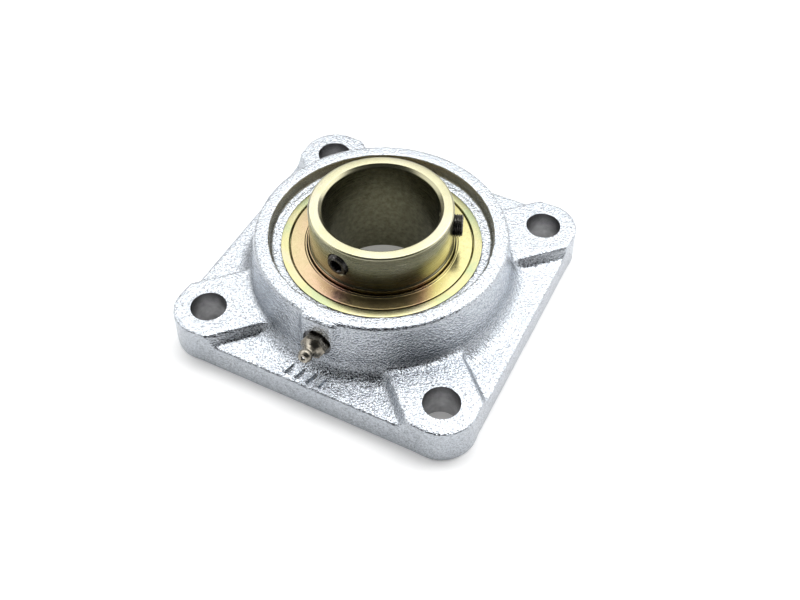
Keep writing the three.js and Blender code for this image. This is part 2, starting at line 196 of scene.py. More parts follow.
def turned(name, outline, segments=192, closed=True, materials=(), lift=0.0):
    """Turns an outline of (radius, height) about Z. An outline that isn't closed ends on the axis."""
    rows = len(outline)
    vertices = []
    for s in range(segments):
        angle = 2 * math.pi * s / segments
        c, d = math.cos(angle), math.sin(angle)
        vertices += [(r * c, r * d, h + lift) for r, h in outline]
    faces = []
    for s in range(segments):
        here, there = s * rows, (s + 1) % segments * rows
        for k in range(rows if closed else rows - 1):
            n = (k + 1) % rows
            faces.append((here + k, there + k, there + n, here + n))
    return tidy(new_piece(name, vertices, faces, materials))


def prism(name, outline, low, high, top_scale=1.0, materials=()):
    """An upright prism; its top is scaled about the shaft axis."""
    count = len(outline)
    vertices = [(x, y, low) for x, y in outline]
    vertices += [(x * top_scale, y * top_scale, high) for x, y in outline]
    faces = [tuple(range(count))[::-1], tuple(range(count, 2 * count))]
    faces += [(k, (k + 1) % count, (k + 1) % count + count, k + count) for k in range(count)]
    return tidy(new_piece(name, vertices, faces, materials))


def block(name, low, high, materials=()):
    """An upright box between two corners."""
    outline = [(low[0], low[1]), (high[0], low[1]), (high[0], high[1]), (low[0], high[1])]
    return prism(name, outline, low[2], high[2], materials=materials)


def moved(piece, matrix):
    """Moves a piece's mesh by a matrix whose shift is in millimetres."""
    matrix = matrix.copy()
    matrix.translation *= MM
    piece.data.transform(matrix)
    return piece


def bake_modifiers(piece):
    bpy.context.view_layer.update()
    evaluated = piece.evaluated_get(bpy.context.evaluated_depsgraph_get())
    mesh = bpy.data.meshes.new_from_object(evaluated)
    piece.modifiers.clear()
    old, piece.data = piece.data, mesh
    bpy.data.meshes.remove(old)
    mesh.name = piece.name
    return piece


def combine(piece, other, operation):
    """Joins, cuts or intersects a piece with another, which is used up.

    Cut faces keep the cutter's material."""
    modifier = piece.modifiers.new("combine", "BOOLEAN")
    modifier.operation = operation
    modifier.solver = "MANIFOLD"
    modifier.object = other
    modifier.material_mode = "TRANSFER"
    bake_modifiers(piece)
    bpy.data.objects.remove(other)
    return piece


def cut(piece, *cutters):
    for cutter in cutters:
        combine(piece, cutter, "DIFFERENCE")
    return piece


def join(piece, *others):
    for other in others:
        combine(piece, other, "UNION")
    return piece


def shade(piece, sharp_angle=32):
    """Smooth shading with edges kept sharp above an angle."""
    piece.data.shade_smooth()
    piece.data.set_sharp_from_angle(angle=math.radians(sharp_angle))
    return piece


def finished(piece, body, slot, *nodes):
    """A piece takes its place on a body, and stands for its CAD nodes."""
    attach(piece, body)
    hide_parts(*nodes)
    return piece


# ------------------------------------------------------------------ materials

TURNING_STRETCH = 0.6                            # how fast turning lines change on their way round


class Finish:
    """One procedural material. Its textures are laid out in the piece's own millimetres."""

    def __init__(self, name, base, roughness, metallic=1.0):
        self.material = bpy.data.materials.new(name)
        self.material.use_nodes = True
        self.tree = self.material.node_tree
        self.shader = self.tree.nodes["Principled BSDF"]
        self.shader.inputs["Base Color"].default_value = (*base, 1)
        self.shader.inputs["Roughness"].default_value = roughness
        self.shader.inputs["Metallic"].default_value = metallic
        coordinates = self.node("ShaderNodeTexCoord")
        scale = self.node("ShaderNodeVectorMath", operation="SCALE")
        self.tree.links.new(coordinates.outputs["Object"], scale.inputs[0])
        scale.inputs["Scale"].default_value = 1 / MM
        self.place = scale.outputs[0]
        self.last_normal = None

    def node(self, kind, inputs=None, **settings):
        node = self.tree.nodes.new(kind)
        for setting, value in settings.items():
            setattr(node, setting, value)
        for socket, value in (inputs or {}).items():
            if isinstance(value, bpy.types.NodeSocket):
                self.tree.links.new(value, node.inputs[socket])
            else:
                node.inputs[socket].default_value = value
        return node

    def math(self, operation, first, second=0.0):
        return self.node("ShaderNodeMath", {0: first, 1: second}, operation=operation).outputs[0]

    def noise(self, scale, detail=3.0, roughness=0.5, distortion=0.0, vector=None):
        """Noise of about 0 to 1, whose blobs are 1 / scale millimetres across."""
        inputs = {"Vector": vector or self.place, "Scale": scale, "Detail": detail}
        inputs.update({"Roughness": roughness, "Distortion": distortion})
        return self.node("ShaderNodeTexNoise", inputs).outputs["Fac"]

    def polar(self):
        """Radius from the shaft axis, angle round it, and height, in millimetres and radians."""
        parts = self.node("ShaderNodeSeparateXYZ", {0: self.place}).outputs
        square = self.math("ADD", self.math("MULTIPLY", parts[0], parts[0]),
                           self.math("MULTIPLY", parts[1], parts[1]))
        return self.math("SQRT", square), self.math("ARCTAN2", parts[1], parts[0]), parts[2]

    def turning_lines(self, scale):
        """Fine grooves that run round the axis, as a lathe leaves them."""
        radius, angle, height = self.polar()
        drawn_out = self.math("MULTIPLY", angle, TURNING_STRETCH / scale)
        where = self.node("ShaderNodeCombineXYZ", {0: radius, 1: drawn_out, 2: height}).outputs[0]
        return self.noise(scale, 3.0, 0.6, vector=where)

    def spread(self, value, low, high, source_low=0.3, source_high=0.7):
        """Maps the source range of a value to low..high, and holds it there outside the range."""
        inputs = {0: value, 1: source_low, 2: source_high, 3: low, 4: high}
        return self.node("ShaderNodeMapRange", inputs).outputs[0]

    def ramp(self, value, *stops):
        """Colours by value, from (place, (r, g, b)) stops."""
        node = self.node("ShaderNodeValToRGB", {0: value})
        elements = node.color_ramp.elements
        while len(elements) < len(stops):
            elements.new(0.5)
        for element, (place, color) in zip(elements, stops):
            element.position = place
            element.color = (*color, 1)
        return node.outputs[0]

    def mix(self, share, first, second):
        node = self.node("ShaderNodeMix", data_type="RGBA")
        for socket, value in ((0, share), (6, first), (7, second)):
            if isinstance(value, bpy.types.NodeSocket):
                self.tree.links.new(value, node.inputs[socket])
            else:
                node.inputs[socket].default_value = value if socket == 0 else (*value, 1)
        return node.outputs[2]

    def color(self, socket):
        self.tree.links.new(socket, self.shader.inputs["Base Color"])

    def roughness(self, socket):
        self.tree.links.new(socket, self.shader.inputs["Roughness"])

    def bump(self, height, depth):
        """Relief of a depth in millimetres; calls add up."""
        node = self.node("ShaderNodeBump", {"Height": height, "Distance": depth * MM, "Strength": 1.0})
        if self.last_normal:
            self.tree.links.new(self.last_normal, node.inputs["Normal"])
        self.last_normal = node.outputs[0]
        self.tree.links.new(self.last_normal, self.shader.inputs["Normal"])


def cast_plated():
    """Rough sand casting under bright plating, with a painted olive reflection on the front recess's wall."""
    f = Finish("cast_plated", (0.5, 0.53, 0.57), 0.25)
    grain = f.noise(1.25, 2.0, 0.5)
    pits = f.noise(2.6, 1.0, 0.5)
    cloud = f.noise(0.05, 3.0)
    plating = f.ramp(
        grain, (0.30, (0.33, 0.35, 0.38)), (0.46, (0.50, 0.53, 0.57)), (0.70, (0.62, 0.65, 0.68)))
    plating = f.mix(f.spread(cloud, 0.0, 0.3), plating, (0.44, 0.48, 0.53))
    speck = f.noise(1.9, 2.0, 0.6)
    plating = f.mix(f.spread(speck, 0.75, 0.0, 0.33, 0.42), plating, (0.12, 0.125, 0.14))
    radius, _, height = f.polar()
    # Painted reflection: the front recess's wall above the ledge is tinted dark olive for the ring and collar
    # that it mirrors.
    inner_side = f.spread(radius, 1.0, 0.0, RECESS + 0.1, RECESS + 0.5)
    outer_side = f.spread(radius, 0.0, 1.0, RECESS - 1.6, RECESS - 0.9)
    painted_recess_reflection = f.math("MULTIPLY", inner_side, outer_side)
    above_ledge = f.spread(height, 0.0, 0.85, LEDGE + 0.2, LEDGE + 1.0)
    painted_recess_reflection = f.math("MULTIPLY", painted_recess_reflection, above_ledge)
    f.color(f.mix(painted_recess_reflection, plating, (0.17, 0.15, 0.095)))
    f.roughness(f.spread(grain, 0.25, 0.13))
    f.bump(grain, 0.46)
    f.bump(pits, 0.10)
    return f.material


def machined_iron():
    """Drilled and turned faces of the casting, with painted shade that deepens towards the front."""
    f = Finish("machined_iron", (0.5, 0.5, 0.5), 0.3)
    lines = f.turning_lines(7.0)
    blotch = f.noise(0.35, 3.0)
    iron = f.ramp(blotch, (0.3, (0.36, 0.36, 0.37)), (0.7, (0.52, 0.52, 0.53)))
    _, _, height = f.polar()
    # Painted shade: from 6 mm to 17 mm over the mounting face the colour darkens towards near black.
    f.color(f.mix(f.spread(height, 0.0, 0.8, 6.0, 17.0), iron, (0.06, 0.062, 0.065)))
    f.roughness(f.spread(lines, 0.22, 0.40))
    f.bump(lines, 0.035)
    return f.material


def zinc_turned():
    """Ground and turned steel under pale yellow chromate."""
    f = Finish("zinc_turned", (0.40, 0.39, 0.19), 0.22)
    lines = f.turning_lines(9.0)
    tint = f.noise(0.055, 2.0, 0.5, 0.6)
    f.color(f.ramp(tint, (0.36, (0.30, 0.33, 0.19)), (0.5, (0.37, 0.35, 0.185)), (0.66, (0.38, 0.35, 0.23))))
    f.roughness(f.spread(lines, 0.16, 0.28))
    f.bump(lines, 0.012)
    return f.material


def zinc_pressed():
    """Thin pressed steel under rainbow yellow chromate."""
    f = Finish("zinc_pressed", (0.38, 0.30, 0.14), 0.2)
    lines = f.turning_lines(6.0)
    parts = f.node("ShaderNodeSeparateXYZ", {0: f.place}).outputs
    across = f.math("ADD", f.math("MULTIPLY", parts[0], 0.0105), f.math("MULTIPLY", parts[1], 0.0055))
    drift = f.math("ADD", across, f.math("MULTIPLY", f.noise(0.05, 2.0), 0.35))
    film = f.ramp(
        f.math("ADD", drift, 0.325), (0.06, (0.35, 0.29, 0.17)), (0.22, (0.38, 0.26, 0.18)),
        (0.33, (0.42, 0.25, 0.20)), (0.42, (0.38, 0.30, 0.15)), (0.56, (0.40, 0.31, 0.15)),
        (0.68, (0.43, 0.27, 0.17)), (0.80, (0.43, 0.38, 0.17)), (0.92, (0.43, 0.40, 0.20)))
    cloud = f.noise(0.6, 4.0, 0.6)
    f.color(f.mix(f.spread(cloud, 0.0, 0.22), film, (0.30, 0.27, 0.12)))
    f.roughness(f.spread(cloud, 0.18, 0.28))
    f.bump(lines, 0.006)
    f.bump(cloud, 0.008)
    return f.material


def collar_steel():
    """Turned inner ring, passivated to a pale olive yellow, with painted shade darkening its bore."""
    f = Finish("collar_steel", (0.40, 0.39, 0.26), 0.27)
    radius, _, _ = f.polar()
    lines = f.turning_lines(8.0)
    tint = f.noise(0.05, 3.0, 0.55, 0.4)
    stain = f.noise(0.5, 5.0, 0.6)
    film = f.ramp(tint, (0.34, (0.40, 0.385, 0.25)), (0.5, (0.44, 0.42, 0.29)), (0.66, (0.45, 0.43, 0.33)))
    film = f.mix(f.spread(stain, 0.0, 0.25), film, (0.35, 0.33, 0.19))
    # Painted shade: the bore is coloured near black, standing in for the shade inside it.
    bore = f.ramp(stain, (0.3, (0.10, 0.097, 0.06)), (0.7, (0.18, 0.175, 0.115)))
    f.color(f.mix(f.spread(radius, 1.0, 0.0, BORE + 0.05, BORE + 0.35), film, bore))
    f.roughness(f.spread(lines, 0.22, 0.34))
    f.bump(lines, 0.010)
    return f.material


def ball_steel():
    """Polished hardened steel with faint lapping marks."""
    f = Finish("ball_steel", (0.78, 0.79, 0.80), 0.09)
    haze = f.noise(0.9, 5.0, 0.6)
    f.color(f.ramp(haze, (0.3, (0.72, 0.73, 0.74)), (0.7, (0.82, 0.83, 0.84))))
    f.roughness(f.spread(haze, 0.06, 0.15))
    f.bump(f.noise(6.0, 3.0), 0.002)
    return f.material


def cage_steel():
    """Plain pressed steel strip with an oily bloom."""
    f = Finish("cage_steel", (0.58, 0.58, 0.56), 0.36)
    bloom = f.noise(0.4, 4.0, 0.6)
    f.color(f.ramp(bloom, (0.3, (0.46, 0.46, 0.44)), (0.7, (0.66, 0.66, 0.64))))
    f.roughness(f.spread(bloom, 0.28, 0.46))
    f.bump(f.noise(3.0, 4.0), 0.01)
    return f.material


def seal_rubber():
    """Matt black nitrile rubber with a moulded skin."""
    f = Finish("seal_rubber", (0.02, 0.02, 0.019), 0.62, metallic=0.0)
    skin = f.noise(2.2, 4.0, 0.6)
    f.color(f.ramp(skin, (0.3, (0.014, 0.014, 0.013)), (0.7, (0.032, 0.031, 0.029))))
    f.roughness(f.spread(skin, 0.5, 0.75))
    f.bump(skin, 0.02)
    return f.material


def black_oxide():
    """Blackened steel, rubbed bright here and there."""
    f = Finish("black_oxide", (0.12, 0.115, 0.11), 0.3)
    rub = f.noise(1.1, 5.0, 0.65)
    f.color(f.ramp(
        rub, (0.42, (0.055, 0.053, 0.05)), (0.6, (0.14, 0.135, 0.13)), (0.74, (0.55, 0.54, 0.52))))
    f.roughness(f.spread(rub, 0.22, 0.42))
    f.bump(f.noise(5.0, 3.0), 0.008)
    return f.material


def nipple_plate():
    """Dull plated steel gone brownish."""
    f = Finish("nipple_plate", (0.55, 0.50, 0.43), 0.26)
    tarnish = f.noise(0.45, 5.0, 0.6)
    f.color(f.ramp(
        tarnish, (0.32, (0.17, 0.155, 0.125)), (0.52, (0.30, 0.275, 0.23)), (0.7, (0.42, 0.39, 0.33))))
    f.roughness(f.spread(tarnish, 0.34, 0.20))
    f.bump(f.noise(2.5, 4.0), 0.02)
    return f.material


def floor_paint():
    """Pale matt acrylic with an even glow, which keeps the ground white and the shadow pale."""
    f = Finish("floor_paint", (0.9, 0.9, 0.9), 0.7, metallic=0.0)
    cloud = f.noise(0.01, 3.0)
    f.color(f.ramp(cloud, (0.3, (0.885, 0.885, 0.89)), (0.7, (0.905, 0.905, 0.905))))
    f.roughness(f.spread(cloud, 0.62, 0.75))
    f.bump(f.noise(0.8, 3.0), 0.01)
    f.shader.inputs["Emission Color"].default_value = (1.0, 1.0, 0.99, 1)
    f.shader.inputs["Emission Strength"].default_value = 0.22
    return f.material


CAST = cast_plated()
MACHINED = machined_iron()
ZINC_TURNED = zinc_turned()
ZINC_PRESSED = zinc_pressed()
COLLAR_STEEL = collar_steel()
BALL_STEEL = ball_steel()
CAGE_STEEL = cage_steel()
RUBBER = seal_rubber()
BLACK = black_oxide()
NIPPLE_PLATE = nipple_plate()


# ------------------------------------------------------------------ housing

def flange_outline():
    """Four round lugs joined by straight sides, seen from the front."""
    bulge = math.degrees(math.acos((LUG - SIDE_INSET) / LUG))
    reach = LUG_CENTRE * math.sqrt(2)
    outline = []
    for corner in range(4):
        start = 90 * corner
        across = math.radians(start + 45)
        centre = (reach * math.cos(across), reach * math.sin(across))
        outline += arc(centre, LUG, start - bulge, start + 90 + bulge, 24)
    return outline


def flange_slab(name, low, high):
    """The flange outline raised between two heights, leaning in as a casting does."""
    foot, top = [1 - SIDE_DRAFT / FLANGE_REACH * height / LUG_TOP for height in (low, high)]
    outline = [(x * foot, y * foot) for x, y in flange_outline()]
    return prism(name, outline, low, high, top / foot)


def pad_bar(name, azimuth, top, spare=0.0):
    """A diagonal bar with sloping sides. Two of them carry the four raised lug pads."""
    slope = (PAD_FOOT_HALF_WIDTH - PAD_HALF_WIDTH) / (LUG_TOP - PLATE_TOP)
    foot = PLATE_TOP - 2
    low_half = PAD_FOOT_HALF_WIDTH + 2 * slope + spare
    high_half = PAD_HALF_WIDTH - slope * (top - LUG_TOP) + spare
    reach = 110
    vertices = []
    for end in (-reach, reach):
        vertices += [(end, -low_half, foot), (end, low_half, foot)]
        vertices += [(end, high_half, top), (end, -high_half, top)]
    faces = [(0, 1, 2, 3), (7, 6, 5, 4)] + [(k, k + 4, (k + 1) % 4 + 4, (k + 1) % 4) for k in range(4)]
    bar = tidy(new_piece(name, vertices, faces))
    return moved(bar, Matrix.Rotation(azimuth, 4, "Z"))


def nipple_column(name):
    """Cast pad on the side of the boss, with a flat face for the nipple."""
    low, high = 8.0, BOSS_TOP - 0.5
    vertices = []
    for height, half, face in ((low, 8.9, 58.3), (high, 7.5, 56.9)):
        vertices += [(-half, -face, height), (half, -face, height), (half, -50, height), (-half, -50, height)]
    faces = [(3, 2, 1, 0), (4, 5, 6, 7)] + [(k, (k + 1) % 4, (k + 1) % 4 + 4, k + 4) for k in range(4)]
    return tidy(new_piece(name, vertices, faces))


def rough_casting():
    """The casting before any machining, from plain solids."""
    casting = flange_slab("housing_casting", -0.25, PLATE_TOP + 0.1)
    pads = join(pad_bar("pads", math.radians(45), LUG_TOP), pad_bar("bar", math.radians(-45), LUG_TOP))
    combine(pads, flange_slab("lug_block", -0.25, LUG_TOP + 5), "INTERSECT")
    fillet = 9.2
    foot = BOSS_FOOT + 0.2 + fillet
    boss = turned("boss", [
        (0, 5), (foot, 5), *arc((foot, PLATE_TOP + fillet), fillet, 270, 185, 10),
        *arc((BOSS - BOSS_ROUNDING, BOSS_TOP - BOSS_ROUNDING), BOSS_ROUNDING, 0, 90, 6), (0, BOSS_TOP),
    ], closed=False)
    pad_fillet = 3.6
    ring = turned("pad_fillet", [
        (50, 14), (BOSS_FOOT + pad_fillet, 14),
        *arc((BOSS_FOOT + pad_fillet - 0.4, LUG_TOP + pad_fillet), pad_fillet, 270, 184, 8), (50, 21.6),
    ])
    bars = join(pad_bar("bars", math.radians(45), 22, 0.8), pad_bar("bar", math.radians(-45), 22, 0.8))
    combine(ring, bars, "INTERSECT")
    join(casting, pads, boss, ring, nipple_column("column"))
    hollow = turned("hollow", [
        (0, -5), (REAR_RECESS, -5), (REAR_RECESS - 0.3, REAR_RECESS_TOP), (43, REAR_RECESS_TOP), (43, LEDGE),
        (RECESS - 0.5, LEDGE), (RECESS, BOSS_TOP + 3), (0, BOSS_TOP + 3),
    ], closed=False)
    slot_half = RING_HALF + 0.5
    slots = block("slots", (-SEAT - 0.1, -slot_half, -5), (SEAT + 0.1, slot_half, CENTRE))
    return cut(casting, hollow, moved(slots, Matrix.Rotation(math.radians(45), 4, "Z")))


def cast_skin(place):
    """Height of the cast skin over the ideal surface, in millimetres."""
    swell = 0.10 * noise.noise(place * 0.09) + 0.055 * noise.noise(place * 0.45)
    grain = 0.05 * noise.noise(place * 1.1 + Vector((9, 5, 2)))
    return swell + grain - 0.06


def raised_bars(casting):
    """A row of plain slanted bars in the pocket by the nipple, instead of the cast lettering."""
    outline = [(-1.3, -2.7), (0.1, -2.7), (1.5, 2.7), (0.1, 2.7)]
    for k in range(BARS):
        bar = prism("bar", outline, PLATE_TOP - 1, PLATE_TOP + 1.6, 0.9, [CAST])
        join(casting, moved(bar, Matrix.Translation((BAR_FIRST[0] + BAR_PITCH * k, BAR_FIRST[1], 0))))


def soften_column(piece):
    """Blends the nipple's pad into the boss, as its pattern had large fillets."""
    group = piece.vertex_groups.new(name="column")
    places = np.zeros(len(piece.data.vertices) * 3)
    piece.data.vertices.foreach_get("co", places)
    x, y, z = places.reshape(-1, 3).T / MM
    near = (abs(x) < 12.5) & (y < -50) & (z > PLATE_TOP + 2.5) & (z < BOSS_TOP + 1)
    group.add([int(index) for index in np.nonzero(near)[0]], 1.0, "REPLACE")
    smooth = piece.modifiers.new("smooth", "SMOOTH")
    smooth.factor = 0.5
    smooth.iterations = COLUMN_SMOOTHING
    smooth.vertex_group = "column"
    bake_modifiers(piece)


def sand_cast(piece):
    """Rounds every edge and roughens the skin, as sand casting does."""
    remesh = piece.modifiers.new("remesh", "REMESH")
    remesh.mode = "VOXEL"
    remesh.voxel_size = CAST_VOXEL * MM
    smooth = piece.modifiers.new("smooth", "SMOOTH")
    smooth.factor = 0.5
    smooth.iterations = CAST_SMOOTHING
    bake_modifiers(piece)
    soften_column(piece)
    mesh = piece.data
    places = np.zeros(len(mesh.vertices) * 3)
    normals = np.zeros(len(mesh.vertices) * 3)
    mesh.vertices.foreach_get("co", places)
    mesh.vertex_normals.foreach_get("vector", normals)
    places, normals = places.reshape(-1, 3), normals.reshape(-1, 3)
    heights = np.array([cast_skin(Vector(place) / MM) for place in places])
    mesh.vertices.foreach_set("co", (places + normals * heights[:, None] * MM).ravel())
    mesh.update()
    return piece


def nipple_frame():
    """From the nipple's own frame, whose Z runs out of the spot face, to the housing's."""
    return Matrix.Translation(NIPPLE_ORIGIN) @ Matrix.Rotation(math.pi / 2 - NIPPLE_TILT, 4, "X")


def machining_cutters():
    """What is machined away: the base, the seat, four bolt holes, the nipple's hole and the pin's slot."""
    base = block("base_cut", (-90, -90, -20), (90, 90, 0), [MACHINED])
    low, high = REAR_RECESS_TOP - 0.3, LEDGE + 0.3
    ends = [math.degrees(math.asin((height - CENTRE) / SEAT)) for height in (low, high)]
    seat = turned("seat_cut", [(0, low), *arc((0, CENTRE), SEAT, ends[0], ends[1], 32), (0, high)],
                  closed=False, materials=[MACHINED])
    cutters = [base, seat]
    flare = 1.3
    wall_top = LUG_TOP - BOLT_HOLE_CHAMFER
    for x in (-LUG_CENTRE, LUG_CENTRE):
        for y in (-LUG_CENTRE, LUG_CENTRE):
            hole = turned("hole_cut", [
                (0, -4), (BOLT_HOLE, -4), (BOLT_HOLE, wall_top), (BOLT_HOLE + flare, wall_top + flare),
                (BOLT_HOLE + flare, LUG_TOP + 3), (0, LUG_TOP + 3),
            ], 96, False, [MACHINED])
            cutters.append(moved(hole, Matrix.Translation((x, y, 0))))
    nipple_hole = turned("nipple_hole_cut", [
        (0, -14), (1.6, -14), (1.6, -8.5), (4.85, -8.5), (4.85, 0), (6.5, 0), (6.5, 6), (0, 6),
    ], 64, False, [MACHINED])
    cutters.append(moved(nipple_hole, nipple_frame()))
    half = PIN_SLOT_HALF_WIDTH
    half_height = PIN + INSERT * math.sin(TILT_LIMIT) + 0.35
    corners = (INSERT - 1, -half, CENTRE - half_height), (48.2, half, CENTRE + half_height)
    cutters.append(block("pin_slot_cut", *corners, [MACHINED]))
    return cutters


casting = rough_casting()
sand_cast(casting)
casting.data.materials.clear()
casting.data.materials.append(CAST)
raised_bars(casting)
cut(casting, *machining_cutters())
shade(casting, 40)
finished(casting, "housing", "cast_plated", "flange_housing")


# ------------------------------------------------------------------ insert bearing

def outer_ring():
    """The outer ring, with its raceway, seal steps, grease hole and hole for the pin."""
    half = RING_HALF
    edge = half - 0.6
    edge_angle = math.degrees(math.asin(edge / INSERT))
    land_angle = math.degrees(math.acos((OUTER_LAND - PITCH) / RACEWAY))
    step, shoulder, land = SEAL_STEP, OUTER_LAND_HALF + 0.5, OUTER_LAND_HALF + 0.25
    outline = [(step + 0.25, -half), (43.0, -half), (43.6, -half + 0.12)]
    outline += arc((0, 0), INSERT, -edge_angle, edge_angle, 30)
    outline += [(43.6, half - 0.12), (43.0, half), (step + 0.25, half), (step, half - 0.25)]
    outline += [(step, shoulder), (OUTER_LAND + 0.3, land), (OUTER_LAND, OUTER_LAND_HALF)]
    outline += arc((PITCH, 0), RACEWAY, land_angle, -land_angle, 20)
    outline += [(OUTER_LAND, -OUTER_LAND_HALF), (OUTER_LAND + 0.3, -land), (step, -shoulder)]
    outline += [(step, -half + 0.25)]
    ring = turned("ring_outer", outline, 240, materials=[ZINC_TURNED], lift=CENTRE)
    half_slot = PIN_SLOT_HALF_WIDTH
    outline = [(0, 43.1), (half_slot, 43.1), (half_slot, 46), (0, 46)]
    pin_hole = turned("pin_hole", outline, 32, False, [ZINC_TURNED])
    moved(pin_hole, Matrix.Translation((0, 0, CENTRE)) @ Matrix.Rotation(math.pi / 2, 4, "Y"))
    outline = [(0, 36.7), (GREASE_HOLE, 36.7), (GREASE_HOLE, 46), (0, 46)]
    grease_hole = turned("grease_hole", outline, 32, False, [ZINC_TURNED])
    moved(grease_hole, Matrix.Translation((0, 0, CENTRE + 7.2)) @ Matrix.Rotation(math.pi / 2, 4, "X"))
    cut(ring, pin_hole, grease_hole)
    return finished(shade(ring), "outer_race", "zinc_yellow", "outer_ring")


outer_ring()


def threaded(name, crest, root, pitch, low, high, materials=(), segments=64):
    """A solid with a helical thread along Z."""
    rows = max(2, round((high - low) / pitch * 8))
    vertices = []
    for row in range(rows + 1):
        height = low + (high - low) * row / rows
        for s in range(segments):
            phase = (height / pitch - s / segments) % 1
            ridge = min(1, max(0, 2.4 * abs(phase - 0.5) - 0.15))
            radius = root + (crest - root) * ridge
            angle = 2 * math.pi * s / segments
            vertices.append((radius * math.cos(angle), radius * math.sin(angle), height))
    faces = [tuple(range(segments))[::-1], tuple(range(rows * segments, (rows + 1) * segments))]
    for row in range(rows):
        for s in range(segments):
            n = (s + 1) % segments
            a, b = row * segments, (row + 1) * segments
            faces.append((a + s, a + n, b + n, b + s))
    return tidy(new_piece(name, vertices, faces, materials))


def screw_frame(azimuth):
    """From a frame whose Z runs out through a set screw to the housing's."""
    lift = Matrix.Translation((0, 0, SCREW_LIFT))
    return lift @ Matrix.Rotation(azimuth, 4, "Z") @ Matrix.Rotation(math.pi / 2, 4, "Y")


def inner_ring():
    """The inner ring, with its raceway, its collar and the two tapped holes."""
    front, rear = COLLAR_TOP - CENTRE, INNER_BOTTOM - CENTRE
    land_angle = math.degrees(math.acos((PITCH - INNER_LAND) / RACEWAY))
    chamfer, land = COLLAR_CHAMFER, INNER_LAND_HALF
    outline = rounded([
        (BORE + 1.3, rear, 0.15), (COLLAR - chamfer, rear, 0.2), (COLLAR, rear + chamfer, 0.3),
        (COLLAR, -land - 0.3), (INNER_LAND, -land),
    ], False)
    outline += arc((PITCH, 0), RACEWAY, 180 + land_angle, 180 - land_angle, 20)
    outline += rounded([
        (INNER_LAND, land - 0.1), (INNER_LAND, land), (COLLAR, land + 0.3), (COLLAR, front, 1.1),
        (BORE + 1.5, front, 0.4), (BORE, front - 1.5, 0.5), (BORE, rear + 1.3, 0.2),
        (BORE + 1.3, rear, 0.15),
    ], False)[1:-1]
    ring = turned("ring_inner", outline, 240, materials=[COLLAR_STEEL], lift=CENTRE)
    for azimuth, _ in SCREWS.values():
        low, high = BORE - 3, COLLAR + 3
        hole = threaded(
            "tapped_hole", TAPPED_CREST, TAPPED_ROOT, THREAD_PITCH, low, high, [COLLAR_STEEL])
        low, high = COLLAR - 1.1, COLLAR + 1.3
        outline = [(0, low), (4.6, low), (7.0, high), (0, high)]
        mouth = turned("mouth", outline, 64, False, [COLLAR_STEEL])
        cut(ring, moved(hole, screw_frame(azimuth)), moved(mouth, screw_frame(azimuth)))
    return finished(shade(ring), "inner_race", "collar_steel", "inner_ring")


inner_ring()


NODE_OF = {"shield": "seal_shield", "rubber_lip": "seal_lip", "flinger": "slinger"}


def both_sides(name, outline, segments, material, body, slot):
    """A turned piece in front of the bearing centre, and its mirror image behind it."""
    for side, sign in (("front", 1), ("rear", -1)):
        flipped = [(r, sign * h) for r, h in outline]
        piece = turned(f"{name}_{side}", flipped, segments, materials=[material], lift=CENTRE)
        finished(shade(piece), body, slot, f"{side}_{NODE_OF[name]}")


both_sides("shield", rounded([
    (32.5, 11.5, 0.1), (33.3, 11.2, 0.4), (39.0, 11.2, 0.15), (39.0, 9.9), (39.6, 9.9), (39.6, 11.8, 0.45),
    (33.5, 11.8, 0.35), (33.0, 12.4, 0.2), (32.5, 12.4, 0.15),
]), 240, ZINC_PRESSED, "outer_race", "zinc_yellow")
both_sides("rubber_lip", rounded([
    (32.3, 10.2, 0.1), (38.4, 10.2, 0.2), (38.4, 10.9, 0.2), (33.2, 10.9, 0.3), (32.3, 10.6, 0.1),
]), 192, RUBBER, "outer_race", "seal_rubber")
both_sides("flinger", rounded([
    (31.5, 9.2, 0.15), (37.0, 9.2, 0.2), (37.0, 9.8, 0.2), (32.0, 9.8, 0.3),
    (32.0, 14.05, 0.2), (31.5, 14.05, 0.2),
]), 192, ZINC_PRESSED, "inner_race", "zinc_yellow")


def ball_angle(index):
    return 2 * math.pi * index / BALLS


def at_pitch(angle):
    return Matrix.Rotation(angle, 4, "Z") @ Matrix.Translation((PITCH, 0, CENTRE))


def cage_half(name, sign):
    """A pressed ribbon: a flat ring that swells round each ball."""
    split, flat_top = 0.2, 1.0
    pocket, shell = 6.95, 7.6
    inner, outer = 33.0, 37.0
    rings, steps = 9, 720
    vertices = []
    for s in range(steps):
        angle = 2 * math.pi * s / steps
        nearest = ball_angle(round(angle / ball_angle(1)))
        for layer in (0, 1):
            for k in range(rings):
                radius = inner + (outer - inner) * k / (rings - 1)
                square = radius ** 2 + PITCH ** 2 - 2 * radius * PITCH * math.cos(angle - nearest)
                rise = math.sqrt(max(0, (shell if layer else pocket) ** 2 - square))
                height = max(rise, flat_top if layer else split)
                across = (radius * math.cos(angle), radius * math.sin(angle))
                vertices.append((*across, CENTRE + sign * height))
    faces = []
    row = 2 * rings
    for s in range(steps):
        a, b = s * row, (s + 1) % steps * row
        for k in range(rings - 1):
            faces.append((a + k, a + k + 1, b + k + 1, b + k))
            faces.append((a + rings + k, b + rings + k, b + rings + k + 1, a + rings + k + 1))
        for k in (0, rings - 1):
            faces.append((a + k, b + k, b + rings + k, a + rings + k))
    cage = tidy(new_piece(name, vertices, faces, [CAGE_STEEL]))
    for i in range(BALLS):
        hole = turned("rivet_hole", [(0, -3), (1.0, -3), (1.0, 3), (0, 3)], 20, False, [CAGE_STEEL])
        cut(cage, moved(hole, at_pitch(ball_angle(i + 0.5))))
    return shade(cage, 50)


finished(cage_half("cage_front", 1), "cage", "cage_steel", "front_cage_half")
finished(cage_half("cage_rear", -1), "cage", "cage_steel", "rear_cage_half")

